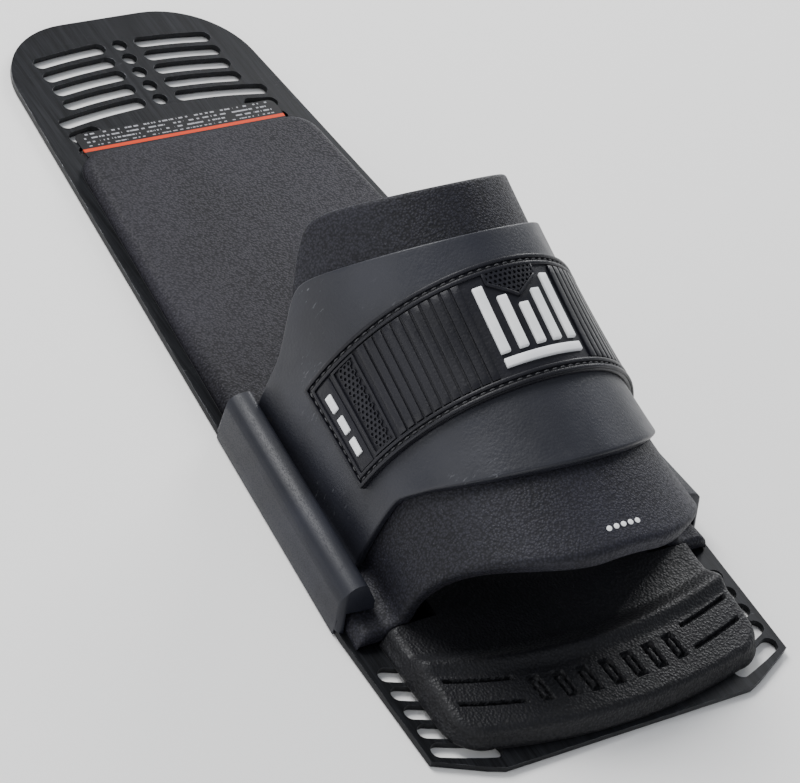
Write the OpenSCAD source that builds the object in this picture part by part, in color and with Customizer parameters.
// Rear toe plate for a slalom water ski: a slotted aluminium plate with a heel pad, a toe pad and an
// elastic foot overlay that two side brackets clamp to the plate.
// X runs across the plate, +Y points to its heel end and +Z up. The origin is the centre of the
// plate's underside. Lengths are in millimetres and angles in degrees.

/* [Plate] */
// Length of the plate
plate_l = 390; // [380:1:410]
// Thickness of the plate
plate_t = 2.5; // [2:0.1:3]
// Width at the start of the heel end's round corners
heel_w = 108; // [106:1:112]
// Width where the plate is widest, near the toe end
toe_w = 155; // [153:1:158]
// Distance between two rows of mounting holes or slots
row_pitch = 8.55; // [8:0.05:9]
// Diameter of the mounting holes
hole_d = 6.3; // [6:0.1:6.8]
// Width of the mounting slots
slot_w = 6.2; // [6:0.1:6.6]

/* [Pads] */
// Thickness of the heel pad
heel_pad_t = 6; // [5:0.5:6.5]
// Height of the toe pad's ridge above the plate
toe_pad_h = 12.5; // [11:0.5:13]
// Thickness of the adhesive film under the pads
film_t = 0.3; // [0.2:0.05:0.4]

/* [Overlay] */
// Height of the foam overlay above the plate, at its heel edge
crown_heel = 103.5; // [100:0.5:106]
// Height of the foam overlay above the plate, at its toe edge
crown_toe = 60.5; // [59:0.5:64]
// Half the width of the foam overlay where its sides rise
wall_half_w = 56.5; // [55.5:0.5:57]
// Thickness of the foam
foam_t = 7.5; // [6:0.5:8]
// Thickness of the rubber layer
rubber_t = 3.2; // [2.5:0.1:3.5]
// Thickness of the moulded strap
strap_t = 2.5; // [2:0.1:3]
// Width of the moulded strap, along the plate
strap_w = 42.8; // [40:0.2:44]
// Angle from the crown to each end of the strap
strap_end_deg = 68; // [64:1:69]

/* [Brackets] */
// Length of a side bracket
bracket_l = 100; // [98:1:101]
// Height of a side bracket above the plate
bracket_h = 17.5; // [16.5:0.1:18]
// Distance between two bracket screws
screw_pitch = 26; // [24:1:27]
// Diameter of a bracket screw's thread
screw_d = 4; // [4:1:4]

/* [Hidden] */

$fn = 48;
eps = 0.01;
gap = 0.05;                                // between layers that lie on each other
half_l = plate_l / 2;
top = plate_t;

// Plate outline: the heel corner's arc, the widest point and the toe corner's chamfer
heel_corner_r = 36;
heel_corner_y = half_l - heel_corner_r;
heel_corner_x = heel_w / 2 - heel_corner_r;
wide_y = -126;
toe_corner_y = -184;
toe_corner_x = toe_w / 2 - 1;
toe_edge_x = 52.7;
taper = (toe_w - heel_w) / 2 / (heel_corner_y - wide_y);

// Mounting holes and slots
first_hole_y = 177.75;
hole_rows = 5;
heel_slot_r = 232;
heel_slot_in = 9.9;
heel_slot_out = 37.3;
wide_slot_out = 44.2;
side_slot_in = 36;
toe_slot_r = 185;
toe_slot_in = 53.3;
toe_slot_out = 71.2;
toe_slot_tip_y = -146.5;

// Pads and label
pad_edge = 4.3;                            // from the plate's edge to the pad's edge
heel_pad_y = 118;
heel_pad_corner_r = 12;
pad_waist_x = 46;                          // half width between the overlay's walls
pad_seam_y = -96;
label_y0 = heel_pad_y + 0.7;
label_y1 = 132;
label_half_w = 45.5;
label_t = 0.25;

// Overlay: rise of the flange's fillet, edges and how the flange thins under the rubber
fillet_r = 6;
clamped_foam_t = 4.3;
toe_flange_t = 6.3;                        // the flange's thickness past the brackets
thin_y = -107;
thick_y = -115;
lip_y = -160.5;
foam_lip_y = -164.3;                       // the foam's toe edge at the crown
foam_side_y = -134;                        // and at the flanges
crown_y = -31;
crown_sag = 3.2;
flange_inset = 2.6;                        // from the plate's edge to the flange's edge

// Brackets: outer lower edge from the heel end to the toe end, turned with the plate's taper
bracket_y = -75.5;
skirt_t = 0.85;                            // the outer wall laps over the plate's edge
bracket_x = plate_half_w(bracket_y) + skirt_t;
bracket_turn = atan(taper);
bracket_wall = 2.4;
bracket_r = 7.5;                           // radius of the outer face's round top
bracket_top_w = 10.2;
bracket_heel_back = 1;                     // how far each end leans back at the top
bracket_toe_back = 4.5;
bracket_lip_heel = 9.6;                    // width of the sole at the heel end
bracket_lip_toe = 13.2;                    // width of the sole at the toe end
sole_z = clamped_foam_t + rubber_t + 3 * gap;
screw_x = 8.15;                            // from the outer lower edge to the screws
boss_r = 4;
boss_gap = 0.3;
insert_r = 2.8;
insert_l = 8;
insert_z = 4;
head_r = 4;
head_h = 2.2;
screw_l = 12;

function plate_half_w(y) = min(heel_w / 2 + taper * (heel_corner_y - y), toe_w / 2);
function lerp(a, b, t) = a + (b - a) * t;
function clamp01(t) = min(1, max(0, t));
function smooth(a, b, t) = let (q = clamp01((t - a) / (b - a))) q * q * (3 - 2 * q);
function soft_min(a, b, k) = -k * ln(exp(-a / k) + exp(-b / k));
function arc(cx, cy, r, a0, a1, n) = [for (i = [0:n]) let (a = lerp(a0, a1, i / n))
    [cx + r * cos(a), cy + r * sin(a)]];

// Overlay shape. The section at y is half an ellipse that stands on two flanges; deg is the angle from
// the crown, and d is the distance out from the foam's outer face.
function crown(y) = let (t = (y - lip_y) / (crown_y - lip_y))
    lerp(crown_toe, crown_heel, t) - 4 * crown_sag * t * (1 - t);
function wall(y) = wall_half_w + 6.5 * pow(max(0, (-y - 64.6) / 80.8), 2);
function over_pt(deg, y, d) = [(wall(y) + d) * sin(deg), y, top + (crown(y) + d) * cos(deg)];

// Where each layer's heel and toe edges lie, at an angle from the crown
function foam_heel_y(a) = soft_min(-29 + 0.0105 * a * a, -28 + 21 * (1 - smooth(46, 71, a)), 2);
function foam_toe_y(a) = lerp(foam_lip_y, foam_side_y, smooth(9, 82, a));
function rubber_heel_y(a) = soft_min(-49.5 + 0.0092 * a * a, -31 + 10 * (1 - smooth(54, 72, a)), 2);
function rubber_toe_y(a) = soft_min(-133.5 + 0.0074 * a * a, -105.8, 1);
function strap_mid_y(a) = -83 + 11.7 * pow(sin(a) / sin(68), 2);

// Half of a layer's section, from the flange's outer edge to the crown, as stations [kind, value]
arch_steps = 16;
fillet_steps = 4;
stations = concat([[0, 0], [0, 1]], [for (i = [1:fillet_steps]) [1, i / fillet_steps]],
    [for (i = [1:arch_steps]) [2, i / arch_steps]]);

function foot_z(y) = flange_t(y) + fillet_r;
function foot_deg(y) = acos(foot_z(y) / crown(y));
function foot_x(y) = wall(y) * sin(foot_deg(y)) + fillet_r;
function flange_t(y) = lerp(toe_flange_t, clamped_foam_t, clamp01((y - thick_y) / (thin_y - thick_y)));
function flange_x(y) = plate_half_w(bracket_y) - (y - bracket_y) * taper - flange_inset;
function station_deg(s, y) = s[0] == 2 ? foot_deg(y) * (1 - s[1]) : 90;
function station_pt(s, y, d) = s[0] == 0
    ? [lerp(flange_x(y), foot_x(y), s[1]), y, top + flange_t(y) + d]
    : s[0] == 1 ? [foot_x(y) - (fillet_r - d) * sin(90 * s[1]), y,
        top + foot_z(y) - (fillet_r - d) * cos(90 * s[1])]
    : over_pt(station_deg(s, y), y, d);

// A closed shell between an outer and an inner grid of points, both [row][column]
module shell(outer, inner) {
    rows = len(outer);
    cols = len(outer[0]);
    n = rows * cols;
    pts = concat([for (r = outer) each r], [for (r = inner) each r]);
    function id(j, i, k) = k * n + j * cols + i;
    skin = [for (j = [0:rows - 2]) for (i = [0:cols - 2]) each [
        [id(j, i, 0), id(j, i + 1, 0), id(j + 1, i + 1, 0)],
        [id(j, i, 0), id(j + 1, i + 1, 0), id(j + 1, i, 0)],
        [id(j, i, 1), id(j + 1, i + 1, 1), id(j, i + 1, 1)],
        [id(j, i, 1), id(j + 1, i, 1), id(j + 1, i + 1, 1)]]];
    ends = [for (i = [0:cols - 2]) each [
        [id(0, i, 0), id(0, i + 1, 1), id(0, i + 1, 0)],
        [id(0, i, 0), id(0, i, 1), id(0, i + 1, 1)],
        [id(rows - 1, i, 0), id(rows - 1, i + 1, 0), id(rows - 1, i + 1, 1)],
        [id(rows - 1, i, 0), id(rows - 1, i + 1, 1), id(rows - 1, i, 1)]]];
    sides = [for (j = [0:rows - 2]) each [
        [id(j, 0, 0), id(j + 1, 0, 0), id(j + 1, 0, 1)],
        [id(j, 0, 0), id(j + 1, 0, 1), id(j, 0, 1)],
        [id(j, cols - 1, 0), id(j + 1, cols - 1, 1), id(j + 1, cols - 1, 0)],
        [id(j, cols - 1, 0), id(j, cols - 1, 1), id(j + 1, cols - 1, 1)]]];
    polyhedron(pts, concat(skin, ends, sides), convexity = 6);
}

// A patch on the overlay between angles and distances along the plate, d0 to d1 out from the foam
module patch(deg0, deg1, w0, w1, d0, d1, cols = 2) {
    function pt(i, j, d) = let (a = lerp(deg0, deg1, i / cols))
        over_pt(a, strap_mid_y(a) + lerp(w0, w1, j), d);
    shell([for (j = [0, 1]) [for (i = [0:cols]) pt(i, j, d1)]],
        [for (j = [0, 1]) [for (i = [0:cols]) pt(i, j, d0)]]);
}

function mirrored(half) = concat(half, [for (i = [len(half) - 2:-1:0])
    [-half[i][0], half[i][1], half[i][2]]]);

// Place children at a side's screws; side is -1 for left and 1 for right
module at_screws(side) {
    for (i = [-1.5:1:1.5])
        bracket_frame(side)
            translate([-screw_x, i * screw_pitch, 0])
                children();
}

module bracket_frame(side) {
    scale([side, 1, 1])
        translate([bracket_x, bracket_y, top])
            rotate([0, 0, bracket_turn])
                children();
}

// ---- plate ----

module plate_outline() {
    half = concat(arc(heel_corner_x, heel_corner_y, heel_corner_r, 90, 4.7, 14),
        [[toe_w / 2, wide_y], [toe_corner_x, toe_corner_y], [toe_edge_x + 6, -half_l + 2.3],
        [toe_edge_x, -half_l]]);
    polygon(concat(half, [for (i = [len(half) - 1:-1:0]) [-half[i][0], half[i][1]]]));
}

module arc_slot(cy, r, x0, x1, down) {
    a0 = asin(x0 / r);
    a1 = asin(x1 / r);
    s = down ? -1 : 1;
    for (side = [-1, 1]) {
        polygon([for (p = concat(arc(0, 0, r + slot_w / 2, 90 - a0, 90 - a1, 8),
            arc(0, 0, r - slot_w / 2, 90 - a1, 90 - a0, 8))) [side * p[0], cy + s * p[1]]]);
        for (a = [a0, a1])
            translate([side * r * sin(a), cy + s * r * cos(a)])
                circle(d = slot_w);
    }
}

module plate_slots() {
    for (i = [0:hole_rows - 1])
        arc_slot(first_hole_y - i * row_pitch - heel_slot_r, heel_slot_r, heel_slot_in,
            i < hole_rows - 1 ? heel_slot_out : wide_slot_out, false);
    for (i = [hole_rows, hole_rows + 1])
        arc_slot(first_hole_y - i * row_pitch - heel_slot_r, heel_slot_r, side_slot_in,
            wide_slot_out, false);
    for (i = [0:4])
        arc_slot(toe_slot_tip_y - i * row_pitch + sqrt(pow(toe_slot_r, 2) - pow(toe_slot_out, 2)),
            toe_slot_r, toe_slot_in, toe_slot_out, true);
}

module base_plate() {
    color("dimgray")
        difference() {
            linear_extrude(plate_t)
                difference() {
                    plate_outline();
                    plate_slots();
                }
            for (i = [0:hole_rows - 1])
                translate([0, first_hole_y - i * row_pitch, -1])
                    cylinder(d = hole_d, h = plate_t + 2);
            for (side = [-1, 1])
                at_screws(side) {
                    translate([0, 0, -plate_t - 1])
                        cylinder(d = screw_d + 0.3, h = plate_t + 2);
                    translate([0, 0, -plate_t - eps])
                        cylinder(r1 = head_r + 0.15, r2 = screw_d / 2 + 0.15, h = head_h);
                }
        }
}

// ---- pads and label ----

module heel_pad_outline() {
    y1 = heel_pad_y - heel_pad_corner_r;
    x1 = plate_half_w(heel_pad_y) - pad_edge - heel_pad_corner_r;
    step_y = foam_heel_y(90) + 1.5;
    half = concat(arc(x1, y1, heel_pad_corner_r, 90, 4, 8),
        [[plate_half_w(step_y) - pad_edge, step_y], [pad_waist_x, step_y],
        [pad_waist_x, pad_seam_y + 0.4]]);
    polygon(concat(half, [for (i = [len(half) - 1:-1:0]) [-half[i][0], half[i][1]]]));
}

module heel_pad_adhesive() {
    color("lightgray")
        translate([0, 0, top])
            linear_extrude(film_t)
                heel_pad_outline();
}

module heel_pad() {
    color([0.2, 0.2, 0.21])
        translate([0, 0, top + film_t])
            linear_extrude(heel_pad_t - film_t)
                heel_pad_outline();
}

toe_pad_side = 66.8;
toe_pad_corner_r = 14;
toe_pad_front_y = -193;
toe_pad_front_r = 230;
toe_pad_edge_h = 7;
toe_pad_bevel = 6;
ridge_y = -163.5;
ridge_w = 9;
step_down_y = -134.5;

module toe_pad_outline(inset = 0) {
    front_cy = toe_pad_front_y + toe_pad_front_r;
    x1 = toe_pad_side - toe_pad_corner_r;
    r = toe_pad_front_r - inset;
    xr = toe_pad_side - inset;
    corner_y = front_cy - sqrt(pow(r, 2) - pow(x1, 2)) + toe_pad_corner_r - inset;
    half = concat([[pad_waist_x - inset, pad_seam_y - 0.4 - inset],
        [pad_waist_x - inset, step_down_y - inset], [xr, step_down_y - inset]],
        arc(x1, corner_y, toe_pad_corner_r - inset, 0, -80, 8),
        arc(0, front_cy, r, -90 + asin(x1 / r), -90, 8));
    polygon(concat(half, [for (i = [len(half) - 1:-1:0]) [-half[i][0], half[i][1]]]));
}

module toe_pad_adhesive() {
    color("lightgray")
        translate([0, 0, top])
            linear_extrude(film_t)
                toe_pad_outline();
}

// A low slab with a thicker front that carries a curved ridge
module toe_pad() {
    front_cy = toe_pad_front_y + toe_pad_front_r;
    color([0.17, 0.17, 0.18])
        translate([0, 0, top + film_t]) {
            linear_extrude(toe_pad_edge_h - film_t)
                toe_pad_outline();
            linear_extrude(toe_pad_h - 3 - film_t)
                intersection() {
                    toe_pad_outline(toe_pad_bevel);
                    translate([0, ridge_y - 20])
                        square([2 * toe_pad_side, 40], center = true);
                }
            linear_extrude(toe_pad_h - film_t)
                intersection() {
                    toe_pad_outline(toe_pad_bevel + 2);
                    difference() {
                        translate([0, ridge_y - ridge_w / 2 + toe_pad_front_r])
                            circle(toe_pad_front_r, $fn = 180);
                        translate([0, ridge_y + ridge_w / 2 + toe_pad_front_r])
                            circle(toe_pad_front_r, $fn = 180);
                    }
                }
        }
}

module label_strip() {
    color([0.08, 0.08, 0.09])
        translate([0, 0, top])
            linear_extrude(label_t)
                polygon(concat([[-label_half_w, label_y0], [label_half_w, label_y0]],
                    arc(label_half_w - 3, label_y1 - 3, 3, 0, 90, 4),
                    arc(3 - label_half_w, label_y1 - 3, 3, 90, 180, 4)));
}

// ---- overlay ----

// Rows of a layer between its two edges, at a distance from the foam's outer face
function layer(rows, heel, toe, off) = [for (j = [0:rows]) mirrored([for (s = stations)
    let (a0 = station_deg(s, -75), y = lerp(toe(a0), heel(a0), j / rows)) station_pt(s, y, off(s, y))])];

module boss_holes() {
    for (side = [-1, 1])
        at_screws(side)
            translate([0, 0, -1])
                cylinder(r = boss_r + boss_gap, h = 20);
}

module foam_overlay() {
    thin = function (s, y) s[0] < 2 ? -flange_t(y) : -lerp(flange_t(y), foam_t, smooth(0, 0.25, s[1]));
    face = function (s, y) 0;
    heel = function (a) foam_heel_y(a);
    toe = function (a) foam_toe_y(a);
    color([0.2, 0.2, 0.21])
        difference() {
            translate([0, 0, gap])
                shell(layer(12, heel, toe, face), layer(12, heel, toe, thin));
            boss_holes();
        }
}

module rubber_overlay() {
    outer = function (s, y) rubber_t;
    inner = function (s, y) gap;
    heel = function (a) rubber_heel_y(a);
    toe = function (a) rubber_toe_y(a);
    color([0.25, 0.25, 0.27])
        difference() {
            translate([0, 0, gap])
                shell(layer(8, heel, toe, outer), layer(8, heel, toe, inner));
            boss_holes();
        }
}

strap_d0 = rubber_t + gap;
strap_d1 = rubber_t + strap_t;

module strap_band() {
    color([0.1, 0.1, 0.11])
        translate([0, 0, gap])
            patch(-strap_end_deg, strap_end_deg, -strap_w / 2, strap_w / 2, strap_d0, strap_d1, 34);
}

// The emblem and the end marks are moulded on the strap's outer face
mark_t = 0.5;
emblem_bars = [[-12.8, 14], [-6.4, 9], [0, 5], [6.4, 9], [12.8, 14]];  // angle and heel end of each
emblem_bar_deg = 1.7;
emblem_bar_y = -9.6;
emblem_rail_deg = 14.5;
emblem_rail_y = -13.1;
emblem_rail_half = 1.5;
end_mark_deg = 64;
end_mark_half_deg = 1.6;
end_mark_w = 4.2;
end_mark_pitch = 9;

// Five upright bars, the outer ones longest, over a rail
module strap_emblem() {
    color("white")
        translate([0, 0, gap]) {
            for (bar = emblem_bars)
                patch(bar[0] - emblem_bar_deg, bar[0] + emblem_bar_deg, emblem_bar_y, bar[1],
                    strap_d1 + gap, strap_d1 + mark_t);
            patch(-emblem_rail_deg, emblem_rail_deg, emblem_rail_y - emblem_rail_half,
                emblem_rail_y + emblem_rail_half, strap_d1 + gap, strap_d1 + mark_t, 6);
        }
}

// Three short bars in a row across the strap's end
module strap_mark(side) {
    color("white")
        translate([0, 0, gap])
            for (i = [-1:1])
                patch(side * end_mark_deg - end_mark_half_deg, side * end_mark_deg + end_mark_half_deg,
                    i * end_mark_pitch - end_mark_w / 2, i * end_mark_pitch + end_mark_w / 2,
                    strap_d1 + gap, strap_d1 + mark_t, 1);
}

module left_strap_mark() {
    strap_mark(-1);
}

module right_strap_mark() {
    strap_mark(1);
}

stitch_deg = 2.2;
stitch_pitch_deg = 4;
stitch_w = 0.8;
stitch_edge = 1.9;                         // from the strap's edge to the row of stitches

module strap_stitching() {
    color([0.16, 0.16, 0.17])
        translate([0, 0, gap])
            for (w = [-1, 1])
                for (a = [-64:stitch_pitch_deg:64])
                    patch(a - stitch_deg / 2, a + stitch_deg / 2, w * (strap_w / 2 - stitch_edge)
                        - stitch_w / 2, w * (strap_w / 2 - stitch_edge) + stitch_w / 2,
                        strap_d1 + gap, strap_d1 + 0.5, 1);
}

// Five printed dots near the foam's toe edge
size_y = -157;

module size_mark() {
    color("white")
        translate([0, 0, gap])
            for (a = [-6.1:2.6:4.4])
                shell([for (w = [-1.3, 1.3]) [for (b = [-0.9, 0.9]) over_pt(a + b, size_y + w, 0.15)]],
                    [for (w = [-1.3, 1.3]) [for (b = [-0.9, 0.9]) over_pt(a + b, size_y + w, 0.02)]]);
}

// ---- brackets ----

module bracket_plan(heel_back, toe_back) {
    r = 2.5;
    heel_end = bracket_l / 2 - heel_back;
    toe_end = -bracket_l / 2 + toe_back;
    hull() {
        for (y = [heel_end - r, toe_end + r])
            translate([-r, y])
                circle(r, $fn = 24);
        for (y = [heel_end - 2, toe_end])
            translate([-30, y])
                square([1, 2]);
    }
}

function bracket_section(sole_w) = concat([[-sole_w, sole_z], [0, sole_z]],
    arc(-bracket_r, bracket_h - bracket_r, bracket_r, 0, 90, 8),
    arc(2 - bracket_top_w, bracket_h - 2, 2, 90, 160, 4),
    [[-max(sole_w, bracket_top_w), sole_z + 3]]);

module bracket_slice(y, sole_w) {
    translate([0, y, 0])
        rotate([90, 0, 0])
            linear_extrude(0.1, center = true)
                polygon(bracket_section(sole_w));
}

// The part of the outer wall that hangs over the plate's edge
module bracket_skirt(side) {
    reach = bracket_l / 2 - 2.5;
    difference() {
        bracket_frame(side)
            translate([-bracket_wall, -reach, 0.1 - plate_t])
                cube([bracket_wall, 2 * reach, plate_t + sole_z / 2]);
        translate([0, 0, -1])
            linear_extrude(plate_t + 1 + gap)
                offset(delta = gap)
                    plate_outline();
    }
}

module bracket(side) {
    color([0.13, 0.13, 0.14])
        difference() {
            union() {
                bracket_frame(side)
                    intersection() {
                        union() {
                            hull() {
                                bracket_slice(bracket_l / 2, bracket_lip_heel);
                                bracket_slice(-bracket_l / 2, bracket_lip_toe);
                            }
                            rotate([90, 0, 0])
                                linear_extrude(bracket_l, center = true)
                                    polygon([[0, gap], [-bracket_wall, gap], [-bracket_wall - eps, sole_z],
                                        [-bracket_wall, sole_z + 1], [0, sole_z + 1]]);
                        }
                        hull() {
                            linear_extrude(eps)
                                bracket_plan(0, 0);
                            translate([0, 0, bracket_h])
                                linear_extrude(eps)
                                    bracket_plan(bracket_heel_back, bracket_toe_back);
                        }
                    }
                at_screws(side)
                    translate([0, 0, gap])
                        cylinder(r = boss_r, h = sole_z + 1);
                bracket_skirt(side);
            }
            at_screws(side)
                translate([0, 0, -1])
                    cylinder(r = screw_d / 2 + 0.3, h = insert_z + 1.5);
            at_screws(side)
                translate([0, 0, insert_z])
                    cylinder(r = insert_r, h = insert_l);
        }
}

module left_bracket() {
    bracket(-1);
}

module right_bracket() {
    bracket(1);
}

module inserts(side) {
    color("goldenrod")
        at_screws(side)
            translate([0, 0, insert_z])
                difference() {
                    cylinder(r = insert_r, h = insert_l);
                    translate([0, 0, -1])
                        cylinder(r = screw_d / 2, h = insert_l + 2);
                }
}

module left_bracket_inserts() {
    inserts(-1);
}

module right_bracket_inserts() {
    inserts(1);
}

// Countersunk screws, put in from under the plate
module screws(side) {
    color("silver")
        at_screws(side)
            translate([0, 0, -plate_t])
                difference() {
                    union() {
                        cylinder(r1 = head_r, r2 = screw_d / 2, h = head_h);
                        cylinder(d = screw_d, h = screw_l);
                    }
                    translate([0, 0, -1])
                        cylinder(d = 2.9, h = 2.4, $fn = 6);
                }
}

module left_bracket_screws() {
    screws(-1);
}

module right_bracket_screws() {
    screws(1);
}

base_plate();
heel_pad();
heel_pad_adhesive();
toe_pad();
toe_pad_adhesive();
label_strip();
foam_overlay();
rubber_overlay();
strap_band();
strap_stitching();
strap_emblem();
left_strap_mark();
right_strap_mark();
size_mark();
left_bracket();
right_bracket();
left_bracket_inserts();
right_bracket_inserts();
left_bracket_screws();
right_bracket_screws();
